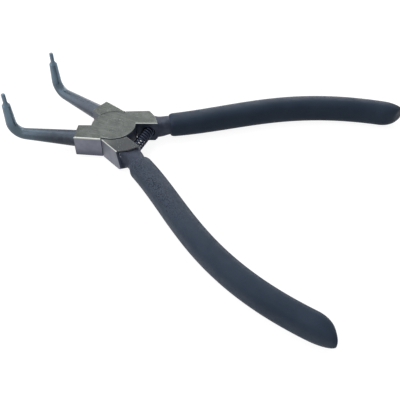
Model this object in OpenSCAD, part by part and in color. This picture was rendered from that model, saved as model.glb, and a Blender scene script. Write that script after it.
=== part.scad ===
// Circlip pliers for rings that sit in a bore, with round noses bent upwards.
// Two forged levers cross at a half-lap pivot, so squeezing the grips closes the tips,
// and a coil spring between the levers opens them again.
// Frame: millimetres, +Z up, pivot axis on Z, underside of the head at z = 0, grips towards +X.
// Each lever is drawn closed, along X, with its handle at +Y and its jaw at -Y, and is then turned open.

/* [Head] */
// Thickness of the head
head_t = 10; // [9:0.1:12]
// Radius of the half-lap discs
disc_r = 10; // [9:0.25:11]
// Angle between each lever and the middle line when the pliers stand open
half_open = 22.5; // [18:0.5:24]
// How far the corners of the opening stop stand out from the disc
stop_land = 1.45; // [0.8:0.05:2]
// Gap between the stop faces when open
stop_gap = 0.3; // [0.1:0.05:0.6]
// Gap between a disc and the lap wall of the other lever
lap_clear = 0.4; // [0.1:0.05:0.6]
// Gap between the flat faces of the two discs
lap_gap = 0.1; // [0.05:0.05:0.3]

/* [Jaw root] */
// Length of the jaw root in front of the disc, on the inner side
root_len = 6; // [4:0.2:9]
// How much further forward its outer corner reaches
root_slant = 0.85; // [0:0.05:2.5]
// Distance from the middle line to the outer front corner
root_w = 9.4; // [8:0.05:10]
// Distance from the middle line to the inner face of the jaw root
root_in = 0.05; // [0:0.05:1]
// Radius of its upright front corners
root_round = 0.4; // [0.3:0.1:1.5]

/* [Shoulder] */
// Length of the shoulder behind the disc, on the outer side
shoulder_len = 5.5; // [3:0.1:7]
// How much further back its inner corner reaches
shoulder_slant = 4.45; // [2:0.05:5]
// How far its outer side stands out from the disc
shoulder_land = 1.05; // [0.2:0.05:1.5]
// Distance from the middle line to its inner face
shoulder_in = 1.2; // [0.8:0.1:2]
// Distance behind the disc of the blunt corner of its end
heel_len = 8.3; // [6:0.1:9]
// Distance from the middle line to that corner
heel_y = 6.9; // [5:0.1:8]
// How much further back its outer corner reaches near the underside
shoulder_foot = 2.2; // [0:0.1:3]
// Height of the bevel under that corner
foot_bevel = 1.5; // [0.5:0.1:2.5]
// How much less far back its inner corner reaches at the underside
shoulder_trim = 1.9; // [0:0.1:2]
// Radius of its upright outer corners
shoulder_round = 1; // [0.5:0.1:2]

/* [Nose and tip] */
// Distance from the pivot to the upright leg of the nose
nose_reach = 45.8; // [38:0.2:60]
// Distance from the middle line to the nose axis where it leaves the jaw root
nose_y = 4.35; // [4:0.05:5]
// Distance from the middle line to the axis of the upright leg
leg_y = 0.95; // [0.6:0.05:2]
// Height of the nose axis above mid thickness
nose_lift = 0.5; // [0:0.05:1]
// Nose radius at the jaw root
nose_root_r = 3.6; // [2.8:0.1:4]
// Nose radius at the bend
nose_bend_r = 2.1; // [1.7:0.1:2.6]
// Nose radius at the tip shoulder
nose_end_r = 1.6; // [1.3:0.1:1.7]
// Radius of the bend, at the axis of the nose
bend_r = 5.8; // [4:0.2:9]
// Height of the tip shoulder above the nose axis
leg_h = 15.4; // [11:0.2:25]
// Height of the conical tip shoulder
tip_cone_h = 1.4; // [0.8:0.1:2.5]
// Width of the ledge round the foot of the tip shoulder
tip_ledge = 0.1; // [0.05:0.05:0.3]
// Radius of the tip pin
tip_r = 0.9; // [0.5:0.05:1.2]
// Length of the tip pin
tip_len = 4.5; // [3:0.1:7]
// Height of the rounded end of the tip pin
tip_round = 0.5; // [0.2:0.05:0.8]

/* [Handle] */
// Length of the bare neck between the shoulder and the grip
neck_len = 5; // [4:0.1:10]
// Distance from the middle line to the outer side of the neck at the shoulder
neck_out = 8.5; // [8:0.1:10]
// Step from the inner face of the shoulder to the neck
neck_step = 0.1; // [0.05:0.05:0.5]
// Squareness of the neck at the shoulder: 2 is an ellipse
neck_squareness = 5; // [2:0.1:6]
// Half height of the neck at the shoulder
neck_half_h = 3.8; // [3:0.1:4.5]
// Distance from the middle line to the handle axis at the mouth of the grip
handle_y = 6.6; // [6:0.1:8.5]
// Length of the handle from the mouth of the grip to its end
handle_len = 109; // [80:0.5:140]
// Distance from the middle line to the end of the handle
handle_end_y = 15; // [10:0.25:20]
// First guide point of the handle curve: distance behind the mouth of the grip
bow_near_x = 33; // [25:0.2:40]
// First guide point of the handle curve: distance from the middle line
bow_near_y = 11.8; // [10:0.1:15]
// Second guide point of the handle curve: distance behind the mouth of the grip
bow_far_x = 58.8; // [50:0.2:70]
// Second guide point of the handle curve: distance from the middle line
bow_far_y = 30; // [22:0.25:34]
// Distance from the end of the steel tang to the end of the handle
tang_stop = 15; // [11:0.5:40]

/* [Grip] */
// Half width of the grip at its mouth, middle and end
grip_half_w = [5.15, 4.8, 4.3]; // [3.5:0.05:7]
// Half height of the grip at its mouth, middle and end
grip_half_h = [4.85, 5.85, 5.65]; // [3.5:0.05:7]
// Wall of the dipped sleeve
grip_wall = 1; // [1:0.05:1.8]
// Gap between the sleeve and the tang
grip_fit = 0.05; // [0.02:0.01:0.15]
// Length of the rounded lip at the mouth
lip_len = 2.4; // [0.8:0.1:3]
// How far the lip rounds in towards the neck
lip_round = 0.8; // [0.3:0.05:0.9]
// Length over which the end is rounded
end_round = 6; // [4:0.25:9]
// Rake of the end face, which makes the outer side longer
end_rake = 31; // [0:1:40]
// Squareness of the section: 2 is an ellipse
squareness = 2.6; // [2:0.1:3.2]

/* [Pivot rivet] */
// Radius of the rivet shank
rivet_r = 3.25; // [2.5:0.05:4]
// Radius of the flush countersunk heads
rivet_head_r = 4.5; // [4.2:0.1:6]
// Depth of the countersunk heads
rivet_head_h = 1.2; // [0.8:0.1:2]
// Clearance round the rivet in the lever that it is closed on
rivet_fit = 0.02; // [0.01:0.01:0.05]
// Running clearance round the rivet in the other lever
rivet_run = 0.06; // [0.03:0.01:0.1]

/* [Return spring] */
// Distance from the pivot to the spring axis
spring_x = 13.7; // [13.2:0.1:15]
// Length of the spring when the pliers stand open
spring_len = 20.6; // [18.5:0.1:21]
// Outside radius of the spring
spring_r = 2.5; // [2:0.05:2.8]
// Wire diameter
wire_d = 0.8; // [0.5:0.05:1]
// Number of turns
spring_turns = 12; // [9:1:14]
// Clearance between the coils and the wall of their blind holes
seat_clear = 0.4; // [0.3:0.05:0.6]
// Gap between the spring ends and the bottoms of the holes
seat_gap = 0.15; // [0.1:0.05:0.3]

/* [Hidden] */

steel_grey = [0.44, 0.44, 0.43];
spring_black = [0.12, 0.13, 0.15];
grip_slate = [0.19, 0.21, 0.27];

// Overlap that lets a cut or a joined piece pass a face
eps = 1;
// Sides of the rings of the grip and tang, of the nose, and of the spring wire
handle_sides = 24;
nose_sides = 24;
wire_sides = 8;
// Rings along the grip, tang, neck and bend, rings of the rounded ends, and rings in a turn of the spring
grip_steps = 22;
tang_steps = 16;
neck_steps = 5;
bend_steps = 8;
round_steps = 6;
turn_steps = 14;
// Turn of the rounded end of the grip, share of the width left flat there, and its lean outwards
end_turn = 80;
end_flat = 0.4;
end_lean = 0.35;
// Points of a rounded corner
corner_steps = 5;

mid_z = head_t / 2;
stop_angle = asin(stop_gap / 2 / (disc_r + stop_land));
inner_r = (disc_r + rivet_head_r) / 2;
nose_z = mid_z + nose_lift;
root_front = disc_r + root_len;
leg_top = nose_z + leg_h;
shoulder_w = disc_r + shoulder_land;
shoulder_end = disc_r + shoulder_len + shoulder_slant;
mouth_x = shoulder_end + neck_len;
tang_end = 1 - tang_stop / handle_len;

// Direction of a vector
function unit(v) = v / norm(v);

// Point at a radius and an angle
function polar(r, a) = [r * cos(a), r * sin(a)];

// Value at s of the smooth curve through three values at 0, 0.5 and 1
function through(v, s) =
    v[0] * (2 * s - 1) * (s - 1) + v[1] * 4 * s * (1 - s) + v[2] * s * (2 * s - 1);

// Points of one corner b, between its neighbours a and c, rounded to radius r
function round_corner(a, b, c, r) =
    let (
        to_a = unit(a - b),
        to_c = unit(c - b),
        half = acos(to_a * to_c) / 2,
        centre = b + unit(to_a + to_c) * r / sin(half),
        from = b + to_a * r / tan(half) - centre,
        to = b + to_c * r / tan(half) - centre,
        turn = 180 - 2 * half
    )
    [for (k = [0 : corner_steps])
        let (s = k / corner_steps)
        centre + (from * sin((1 - s) * turn) + to * sin(s * turn)) / sin(turn)];

// Outline through points, where the points numbered in corners are rounded to radius r
function outline(points, corners, r) =
    let (n = len(points))
    [for (i = [0 : n - 1])
        each len(search(i, corners)) == 0
            ? [points[i]]
            : round_corner(points[(i + n - 1) % n], points[i], points[(i + 1) % n], r)];

// Ring of points round a centre, on axes u and v, with the half sizes a and b
function ring(centre, u, v, a, b, sides, power) =
    [for (k = [0 : sides - 1])
        let (
            t = 360 * k / sides,
            cu = sign(cos(t)) * pow(abs(cos(t)), 2 / power),
            sv = sign(sin(t)) * pow(abs(sin(t)), 2 / power)
        )
        centre + u * a * cu + v * b * sv];

// Closed solid skinned over rings that all run the same way round
module skin(rings) {
    n = len(rings[0]);
    last = len(rings) - 1;
    sides = [
        for (i = [0 : last - 1], k = [0 : n - 1])
            let (p = i * n + k, q = i * n + (k + 1) % n)
            each [[p, p + n, q + n], [p, q + n, q]]
    ];
    ends = [
        [for (k = [0 : n - 1]) k],
        [for (k = [n - 1 : -1 : 0]) last * n + k]
    ];
    polyhedron(points = [for (r = rings) each r], faces = concat(ends, sides));
}

// Guide points of the handle axis, from the mouth of the grip to its end
handle_guides = [
    [mouth_x, handle_y],
    [mouth_x + bow_near_x, bow_near_y],
    [mouth_x + bow_far_x, bow_far_y],
    [mouth_x + handle_len, handle_end_y]
];

// Point of the handle axis at s, from 0 at the mouth of the grip to 1 at the end
function handle_point(s) =
    let (p = handle_guides)
    p[0] * pow(1 - s, 3) + p[1] * 3 * s * pow(1 - s, 2) + p[2] * 3 * s * s * (1 - s) + p[3] * pow(s, 3);

// Direction of the handle axis at s
function handle_dir(s) =
    let (p = handle_guides)
    unit((p[1] - p[0]) * pow(1 - s, 2) + (p[2] - p[1]) * 2 * s * (1 - s) + (p[3] - p[2]) * s * s);

// Ring across the handle at s, inset from the grip's outer face, shrunk by k, raked and moved outwards
function handle_ring(s, inset, k = 1, rake = 0, shift = 0) =
    let (
        p = handle_point(s),
        d = handle_dir(s),
        out = [-d[1], d[0], 0],
        raked = out + [d[0], d[1], 0] * tan(rake),
        a = (through(grip_half_w, s) - inset) * k,
        b = (through(grip_half_h, s) - inset) * k
    )
    ring([p[0], p[1], mid_z] + out * shift, raked, [0, 0, 1], a, b, handle_sides, squareness);

// Full-thickness outline of the jaw root, in front of the pivot
function root_outline() =
    let (stop = 270 - half_open - stop_angle)
    outline([
        [-inner_r, -root_in],
        polar(inner_r, stop),
        polar(disc_r + stop_land, stop),
        [-root_front - root_slant, -root_w],
        [-root_front, -root_in]
    ], [3, 4], root_round);

// Ring round the shoulder, behind the pivot, at height z, with its end corners moved back by inner and outer
function shoulder_ring(z, inner, outer) =
    let (stop = 90 - half_open - stop_angle)
    [for (p = outline([
        [inner_r, shoulder_in],
        [shoulder_end + inner, shoulder_in],
        [disc_r + heel_len, heel_y],
        [disc_r + shoulder_len + outer, shoulder_w],
        polar(disc_r + stop_land, stop),
        polar(inner_r, stop)
    ], [2, 3], shoulder_round)) [p[0], p[1], z]];

// Full-thickness shoulder, its end oblique on top, squarer lower down and bevelled at the underside
module shoulder() {
    skin([
        shoulder_ring(0, -shoulder_trim, shoulder_foot - foot_bevel),
        shoulder_ring(foot_bevel, foot_bevel - shoulder_trim, shoulder_foot),
        shoulder_ring(head_t, 0, 0)
    ]);
}

// Round nose that runs forward from the jaw root, bends upwards and ends in the tip pin
module nose() {
    foot = [-root_front, -nose_y, nose_z];
    corner = [-nose_reach, -leg_y, nose_z];
    forward = unit(corner - foot);
    upward = [0, 0, 1];
    across = cross(forward, upward);
    bend_start = corner - forward * bend_r;
    leg_end = [corner[0], corner[1], leg_top];
    function round_ring(centre, along, r) = ring(centre, across, cross(along, across), r, r, nose_sides, 2);
    bend_rings = [
        for (k = [0 : bend_steps])
            let (
                a = 90 * k / bend_steps,
                centre = bend_start + forward * bend_r * sin(a) + upward * bend_r * (1 - cos(a))
            )
            round_ring(centre, forward * cos(a) + upward * sin(a), nose_bend_r)
    ];
    skin(concat(
        [round_ring(foot - forward * root_len, forward, nose_root_r)],
        [round_ring(foot, forward, nose_root_r)],
        bend_rings,
        [round_ring(leg_end, upward, nose_end_r)]
    ));
    translate(leg_end) tip();
}

// Conical shoulder and round-ended pin that enters the eye of the ring
module tip() {
    base_r = nose_end_r - tip_ledge;
    pin_h = tip_len - tip_round;
    rotate_extrude()
    polygon([
        [0, -tip_cone_h],
        [base_r, -tip_cone_h],
        [base_r, 0],
        [tip_r, tip_cone_h],
        [tip_r, tip_cone_h + pin_h],
        [tip_r / 2, tip_cone_h + tip_len],
        [0, tip_cone_h + tip_len]
    ]);
}

// Ring across the neck at s, from 0 inside the shoulder to 1 at the mouth of the grip
function neck_ring(s) =
    let (
        ease = (1 - cos(180 * s * s)) / 2,
        root_x = disc_r + shoulder_len,
        root_y = (shoulder_in + neck_step + neck_out) / 2,
        root_half_w = (neck_out - shoulder_in - neck_step) / 2,
        x = root_x + (mouth_x - root_x) * s,
        y = root_y + (handle_y - root_y) * ease,
        d = handle_dir(0) * ease + [1, 0] * (1 - ease),
        out = unit([-d[1], d[0], 0]),
        a = root_half_w + (grip_half_w[0] - grip_wall - root_half_w) * ease,
        b = neck_half_h + (grip_half_h[0] - grip_wall - neck_half_h) * ease,
        power = neck_squareness + (squareness - neck_squareness) * ease
    )
    ring([x, y, mid_z], out, [0, 0, 1], a, b, handle_sides, power);

// Neck behind the shoulder and the tang that runs inside the grip
module tang() {
    neck = [for (i = [0 : neck_steps - 1]) neck_ring(i / neck_steps)];
    rings = [for (i = [0 : tang_steps]) handle_ring(tang_end * i / tang_steps, grip_wall)];
    skin(concat(neck, rings));
}

// Blind hole for one end of the spring, on the line that the spring takes when open
module spring_seat() {
    rotate([0, 0, -half_open])
    translate([spring_x, 0, mid_z])
    rotate([-90, 0, 0])
    cylinder(h = spring_len / 2 + seat_gap, r = spring_r + seat_clear);
}

// Rivet from the underside to the top of the head, grown by fit all round and lengthened by over
module rivet_form(fit, over) {
    shank = rivet_r + fit;
    head = rivet_head_r + fit;
    rotate_extrude()
    polygon([
        [0, -over],
        [head, -over],
        [head, 0],
        [shank, rivet_head_h],
        [shank, head_t - rivet_head_h],
        [head, head_t],
        [head, head_t + over],
        [0, head_t + over]
    ]);
}

// One forged lever, closed, with its disc in the half of the head that starts at disc_z
module lever(disc_z, lap_z, fit) {
    half_t = mid_z - lap_gap / 2;
    difference() {
        union() {
            linear_extrude(head_t) polygon(root_outline());
            shoulder();
            nose();
            tang();
        }
        translate([0, 0, lap_z]) cylinder(h = mid_z + lap_gap / 2 + eps, r = disc_r + lap_clear);
        spring_seat();
    }
    difference() {
        translate([0, 0, disc_z]) cylinder(h = half_t, r = disc_r);
        rivet_form(fit, eps);
    }
}

// Dipped sleeve over the tang, closed and rounded at the end
module grip() {
    rest = 1 - end_round / handle_len;
    lip = lip_len / handle_len;
    bore = [for (i = [tang_steps : -1 : 0]) handle_ring(tang_end * i / tang_steps, grip_wall - grip_fit)];
    mouth = [
        for (i = [0 : round_steps])
            let (a = 90 * i / round_steps)
            handle_ring(lip * (1 - cos(a)), lip_round * (1 - sin(a)))
    ];
    body = [for (i = [1 : grip_steps]) handle_ring(lip + (rest - lip) * i / grip_steps, 0)];
    end = [
        for (i = [1 : round_steps])
            let (
                a = end_turn * i / round_steps,
                k = end_flat + (1 - end_flat) * cos(a),
                rake = end_rake * i / round_steps
            )
            handle_ring(rest + (1 - rest) * sin(a), 0, k, rake, (1 - k) * end_lean * grip_half_w[2])
    ];
    skin(concat(bore, mouth, body, end));
}

// Lever whose disc lies on top
module upper_lever() {
    color(steel_grey)
    rotate([0, 0, half_open])
    lever(mid_z + lap_gap / 2, -eps, rivet_fit);
}

// Lever whose disc lies underneath, its outline the mirror image of the other
module lower_lever() {
    color(steel_grey)
    rotate([0, 0, -half_open])
    mirror([0, 1, 0])
    lever(0, mid_z - lap_gap / 2, rivet_run);
}

// Pivot rivet, closed flush at both faces of the head
module pivot_rivet() {
    color(steel_grey) rivet_form(0, 0);
}

// Compression spring, wound round the line between its two blind holes
module return_spring() {
    coil_r = spring_r - wire_d / 2;
    reach = spring_len - wire_d;
    rings = [
        for (i = [0 : spring_turns * turn_steps])
            let (
                a = 360 * i / turn_steps,
                y = reach * (i / (spring_turns * turn_steps) - 0.5),
                radial = [cos(a), 0, sin(a)],
                centre = [spring_x, y, mid_z] + radial * coil_r
            )
            ring(centre, radial, [0, 1, 0], wire_d / 2, wire_d / 2, wire_sides, 2)
    ];
    color(spring_black) skin(rings);
}

// Sleeve on the upper lever
module upper_grip() {
    color(grip_slate) rotate([0, 0, half_open]) grip();
}

// Sleeve on the lower lever
module lower_grip() {
    color(grip_slate) rotate([0, 0, -half_open]) mirror([0, 1, 0]) grip();
}

upper_lever();
lower_lever();
pivot_rivet();
return_spring();
upper_grip();
lower_grip();
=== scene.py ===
"""Looks of circlip pliers with bent round noses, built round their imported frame.

Sizes in the dataclasses are millimetres, apart from those of the lamps and the floor, and the finished
meshes are metres. Each lever is drawn closed, along X, with its handle at +Y and its jaw at -Y. It is then
turned open, and the lower one is mirrored as well.
"""

import logging
import math
from collections.abc import Sequence
from dataclasses import dataclass, field
from enum import Enum, IntEnum
from itertools import pairwise

import bmesh
import bpy
from mathutils import Matrix, Vector


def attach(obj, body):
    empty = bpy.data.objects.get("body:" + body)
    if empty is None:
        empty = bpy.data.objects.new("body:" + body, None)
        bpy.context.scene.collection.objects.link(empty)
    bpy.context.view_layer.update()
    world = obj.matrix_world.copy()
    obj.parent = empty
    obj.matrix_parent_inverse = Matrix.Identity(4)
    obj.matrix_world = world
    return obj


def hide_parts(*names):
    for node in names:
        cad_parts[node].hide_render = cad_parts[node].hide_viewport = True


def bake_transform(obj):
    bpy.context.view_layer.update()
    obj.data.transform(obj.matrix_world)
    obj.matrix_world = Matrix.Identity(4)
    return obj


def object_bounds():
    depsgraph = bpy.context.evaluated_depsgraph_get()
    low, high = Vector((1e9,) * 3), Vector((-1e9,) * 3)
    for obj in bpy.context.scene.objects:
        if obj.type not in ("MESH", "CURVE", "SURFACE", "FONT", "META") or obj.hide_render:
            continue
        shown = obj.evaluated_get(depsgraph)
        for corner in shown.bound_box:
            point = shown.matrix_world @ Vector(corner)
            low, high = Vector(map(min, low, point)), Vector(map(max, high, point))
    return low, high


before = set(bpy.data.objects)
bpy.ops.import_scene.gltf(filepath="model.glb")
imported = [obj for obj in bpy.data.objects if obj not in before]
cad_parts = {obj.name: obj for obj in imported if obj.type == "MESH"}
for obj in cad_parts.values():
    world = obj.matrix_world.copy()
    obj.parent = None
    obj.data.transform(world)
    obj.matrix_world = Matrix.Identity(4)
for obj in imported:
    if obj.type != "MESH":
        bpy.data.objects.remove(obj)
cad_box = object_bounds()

LOG = logging.getLogger("circlip_pliers")
Colour = tuple[float, float, float, float]
Span = tuple[float, float]
Pair = tuple[float, float]
Outline = list[Vector]
Ring = list[Vector]
Socket = bpy.types.NodeSocket
Value = Socket | float | Sequence[float]
Piece = bpy.types.Object
Material = bpy.types.Material

MM = 0.001
UP = Vector((0, 0, 1))
# Thickness of the head, in the middle of which the handles lie
HEAD_T = 10
# Least radius of a corner of a plan that is moved inwards
LEAST_ROUND = 0.1
# Points of the disc and of all that is turned round the pivot
TURNED_SIDES = 128
# Values between which a noise mostly lies
NOISE_SPAN = (0.3, 0.7)
# Slack on the distances by which the faces of a lever are sorted
SLACK = 0.01
# Parts of a face's normal by which it is sorted: flat, level with the horizon, turned to a side, and steep
FLAT = 0.97
LEVEL = 0.2
TURNED = 0.3
STEEP = 0.7


class Side(Enum):
    """The two levers, each named for the half of the head in which its disc lies."""

    UPPER = "upper"
    LOWER = "lower"

    @property
    def body(self) -> str:
        """Name of the moving body that carries this side."""
        return f"{self.value}_half"

    def placed(self, half_open: float) -> Matrix:
        """Matrix from the drawn, closed lever in millimetres to its open place in metres.

        Args:
            half_open: Angle between the lever and the middle line, in degrees.

        Returns:
            The matrix, with a mirror in it for the lower side.
        """
        turn = Matrix.Rotation(math.radians(half_open), 4, "Z")
        mirror = Matrix.Diagonal((1, 1 if self is Side.UPPER else -1, 1, 1))
        return Matrix.Scale(MM, 4) @ mirror @ turn


class Joining(Enum):
    """Ways to combine two closed meshes."""

    ADD = "UNION"
    CUT = "DIFFERENCE"


class Zone(IntEnum):
    """Surfaces of a lever, in the order of its materials."""

    GROUND = 0
    FLANK = 1
    OXIDE = 2
    EDGE = 3
    SHADE = 4


def tone(red: int, green: int, blue: int) -> Colour:
    """Linear colour for the shaders of a tone that is written from 0 to 255, as a screen shows it.

    Args:
        red: Red part.
        green: Green part.
        blue: Blue part.

    Returns:
        The colour, with an alpha of 1.
    """

    def linear(part: int) -> float:
        """One part of the colour, without the standard curve of screens."""
        share = part / 255
        return share / 12.92 if share <= 0.04045 else ((share + 0.055) / 1.055) ** 2.4

    return (linear(red), linear(green), linear(blue), 1.0)


def polar(radius: float, degrees: float) -> Vector:
    """Point of the plan at a radius and an angle."""
    angle = math.radians(degrees)
    return Vector((radius * math.cos(angle), radius * math.sin(angle)))


def between(start: float, end: float, share: float) -> float:
    """Value at a share of the way from start to end."""
    return start + (end - start) * share


def through(values: Sequence[float], share: float) -> float:
    """Value at a share of the length of the smooth curve through three values at 0, 0.5 and 1.

    Args:
        values: The three values.
        share: Where the curve is read, from 0 to 1.

    Returns:
        The value there.
    """
    start, middle, end = values
    return (
        start * (2 * share - 1) * (share - 1)
        + middle * 4 * share * (1 - share)
        + end * share * (2 * share - 1)
    )


def rounded(points: Outline, corners: dict[int, float], steps: int = 8) -> Outline:
    """Outline through points, with some of its corners rounded.

    Args:
        points: Corners of the outline.
        corners: Radius of each corner that is rounded, by its number.
        steps: Pieces of each rounding.

    Returns:
        The points of the rounded outline.
    """
    made: Outline = []
    for number, corner in enumerate(points):
        if number not in corners:
            made.append(corner)
            continue
        radius = corners[number]
        back = (points[number - 1] - corner).normalized()
        onward = (points[(number + 1) % len(points)] - corner).normalized()
        half = back.angle(onward) / 2
        centre = corner + (back + onward).normalized() * radius / math.sin(half)
        first = corner + back * radius / math.tan(half) - centre
        last = corner + onward * radius / math.tan(half) - centre
        turn = math.pi - 2 * half
        for step in range(steps + 1):
            share = step / steps
            arm = first * math.sin((1 - share) * turn) + last * math.sin(share * turn)
            made.append(centre + arm / math.sin(turn))
    return made


def inset(points: Outline, depth: float) -> Outline:
    """Outline moved inwards.

    Args:
        points: Points of the outline, which run anticlockwise.
        depth: How far each of its sides is moved.

    Returns:
        The points of the smaller outline.
    """
    made: Outline = []
    for number, point in enumerate(points):
        back = (point - points[number - 1]).normalized()
        onward = (points[(number + 1) % len(points)] - point).normalized()
        left_back = Vector((-back.y, back.x))
        left_onward = Vector((-onward.y, onward.x))
        made.append(point + (left_back + left_onward) * depth / (1 + left_back.dot(left_onward)))
    return made


def section(
    centre: Vector, across: Vector, upward: Vector, half: Vector, sides: int, power: float = 2
) -> Ring:
    """Ring of points round a centre: an ellipse at a power of 2, and squarer above it.

    Args:
        centre: Middle of the ring.
        across: First axis of the ring.
        upward: Second axis of the ring.
        half: Half sizes along the two axes.
        sides: Number of points.
        power: Squareness.

    Returns:
        The points of the ring.
    """

    def eased(value: float) -> float:
        """A cosine or sine drawn out towards the corners."""
        return math.copysign(abs(value) ** (2 / power), value)

    angles = [math.tau * number / sides for number in range(sides)]
    return [
        centre + across * half.x * eased(math.cos(angle)) + upward * half.y * eased(math.sin(angle))
        for angle in angles
    ]


def circle(centre: Vector, across: Vector, upward: Vector, radius: float, sides: int) -> Ring:
    """Round ring of points in the plane of two axes."""
    return section(centre, across, upward, Vector((radius, radius)), sides)


def link(name: str, mesh: bpy.types.Mesh) -> Piece:
    """New object in the scene.

    Args:
        name: Name of the object.
        mesh: Its mesh.

    Returns:
        The object.
    """
    made = bpy.data.objects.new(name, mesh)
    bpy.context.scene.collection.objects.link(made)
    return made


def skin(name: str, rings: Sequence[Ring], along: Sequence[float] | None = None) -> Piece:
    """Closed solid over rings that all run the same way round.

    Args:
        name: Name of the object.
        rings: The rings, each with as many points as the next.
        along: A value for each ring, kept on its points as the attribute "along".

    Returns:
        The object.
    """
    form = bmesh.new()
    rows = [[form.verts.new(point) for point in ring] for ring in rings]
    for low, high in pairwise(rows):
        for number in range(len(low)):
            after = (number + 1) % len(low)
            form.faces.new((low[number], low[after], high[after], high[number]))
    form.faces.new(rows[0])
    form.faces.new(rows[-1])
    bmesh.ops.recalc_face_normals(form, faces=form.faces)
    mesh = bpy.data.meshes.new(name)
    form.to_mesh(mesh)
    form.free()
    if along is not None:
        marks = mesh.attributes.new("along", "FLOAT", "POINT")
        marks.data.foreach_set("value", [value for value, ring in zip(along, rings) for _ in ring])
    return link(name, mesh)


def prism(
    name: str,
    levels: Sequence[tuple[float, Outline]],
    edge: Pair,
    corners: dict[int, float] | None = None,
    steps: int = 5,
) -> Piece:
    """Solid over outlines at several heights, with its top and bottom edges rounded.

    Args:
        name: Name of the object.
        levels: Height and plan of each outline, from the underside up, all anticlockwise with as many points.
        edge: Width in plan and height of the rounded edges.
        corners: Radius of each corner of the plan that is rounded, by its number.
        steps: Pieces of each rounding.

    Returns:
        The object.
    """

    def plan(height: float) -> Outline:
        """Outline at a height, between those given."""
        (low, under), (high, over) = next(pair for pair in pairwise(levels) if height <= pair[1][0])
        return [a.lerp(b, (height - low) / (high - low)) for a, b in zip(under, over)]

    def ring(height: float, depth: float) -> Ring:
        """Outline at a height, moved inwards before its corners are rounded, so that it never folds."""
        left = {number: max(radius - depth, LEAST_ROUND) for number, radius in (corners or {}).items()}
        return [Vector((*point, height)) for point in rounded(inset(plan(height), depth), left)]

    angles = [math.pi / 2 * step / steps for step in range(steps + 1)]
    wide, deep = edge
    low, high = levels[0][0], levels[-1][0]
    rims = [(low + deep * (1 - math.cos(a)), wide * (1 - math.sin(a))) for a in angles]
    rims += [(height, 0) for height, _ in levels[1:-1]]
    rims += [(high - deep * (1 - math.cos(a)), wide * (1 - math.sin(a))) for a in reversed(angles)]
    return skin(name, [ring(height, depth) for height, depth in rims])


def lathe(name: str, profile: Sequence[Pair]) -> Piece:
    """Closed solid turned round the pivot axis, from the radius and height of each of its rings."""
    x, y = Vector((1, 0, 0)), Vector((0, 1, 0))
    return skin(name, [circle(UP * height, x, y, radius, TURNED_SIDES) for radius, height in profile])


def applied(made: Piece) -> bpy.types.Mesh:
    """Works an object's modifiers into a mesh, and removes them.

    Args:
        made: The object, whose own mesh stays as it is.

    Returns:
        The plain mesh.
    """
    seen = made.evaluated_get(bpy.context.evaluated_depsgraph_get())
    mesh = bpy.data.meshes.new_from_object(seen)
    made.modifiers.clear()
    return mesh


def combine(base: Piece, other: Piece, joining: Joining) -> None:
    """Adds another closed mesh to base, or cuts it from base, and removes the other.

    Args:
        base: Object that is changed.
        other: Object that is used up.
        joining: What is done.
    """
    step = base.modifiers.new("combine", "BOOLEAN")
    step.operation = joining.value
    step.solver = "EXACT"
    step.object = other
    base.data = applied(base)
    bpy.data.objects.remove(other)


def settle(made: Piece, place: Matrix, crease: float) -> None:
    """Moves a drawn mesh to its place and gives it smooth shading up to a crease angle.

    Args:
        made: Object whose mesh is placed, which itself stays at the origin.
        place: Matrix from the drawing to the part's frame.
        crease: Angle in degrees above which an edge stays sharp.
    """
    mesh = made.data
    mesh.transform(place)
    if place.determinant() < 0:
        mesh.flip_normals()
    mesh.shade_smooth()
    mesh.set_sharp_from_angle(angle=math.radians(crease))
    weights = made.modifiers.new("weighted normals", "WEIGHTED_NORMAL")
    weights.keep_sharp = True
    made.data = applied(made)


class Wiring:
    """Tree of nodes, each of which is made, set and linked by one call."""

    def __init__(self, tree: bpy.types.NodeTree) -> None:
        """Takes the tree that is filled."""
        self.tree = tree

    def give(self, target: Socket, value: Value) -> None:
        """Links an input to a socket, or sets it.

        Args:
            target: The input.
            value: The socket, or the value.
        """
        if isinstance(value, Socket):
            self.tree.links.new(value, target)
        else:
            target.default_value = value

    def add(self, kind: str, given: dict[str | int, Value], **settings: str) -> bpy.types.Node:
        """New node.

        Args:
            kind: Type of the node.
            given: Socket or value for each input that is used, by the input's name or number.
            settings: Properties of the node. They come first, because some decide which inputs it has.

        Returns:
            The node.
        """
        made = self.tree.nodes.new(kind)
        for name, value in settings.items():
            setattr(made, name, value)
        for key, value in given.items():
            self.give(made.inputs[key], value)
        return made

    def reckon(self, operation: str, *parts: Socket | float) -> Socket:
        """Result of a calculation with sockets and numbers."""
        return self.add("ShaderNodeMath", dict(enumerate(parts)), operation=operation).outputs["Value"]


@dataclass(frozen=True)
class Grain:
    """Noise in a finish, and the part of it that shows.

    Attributes:
        width: Width of a feature, in millimetres.
        detail: How many finer layers it has.
        stretch: How often it repeats along each axis, as a share.
        span: Values of the noise at which it begins to show and shows fully.
        least: How much it shows where it begins.
        most: How much it shows at its fullest.
    """

    width: float
    detail: float = 2
    stretch: tuple[float, float, float] = (1, 1, 1)
    span: Span = NOISE_SPAN
    least: float = 0
    most: float = 1


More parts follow.
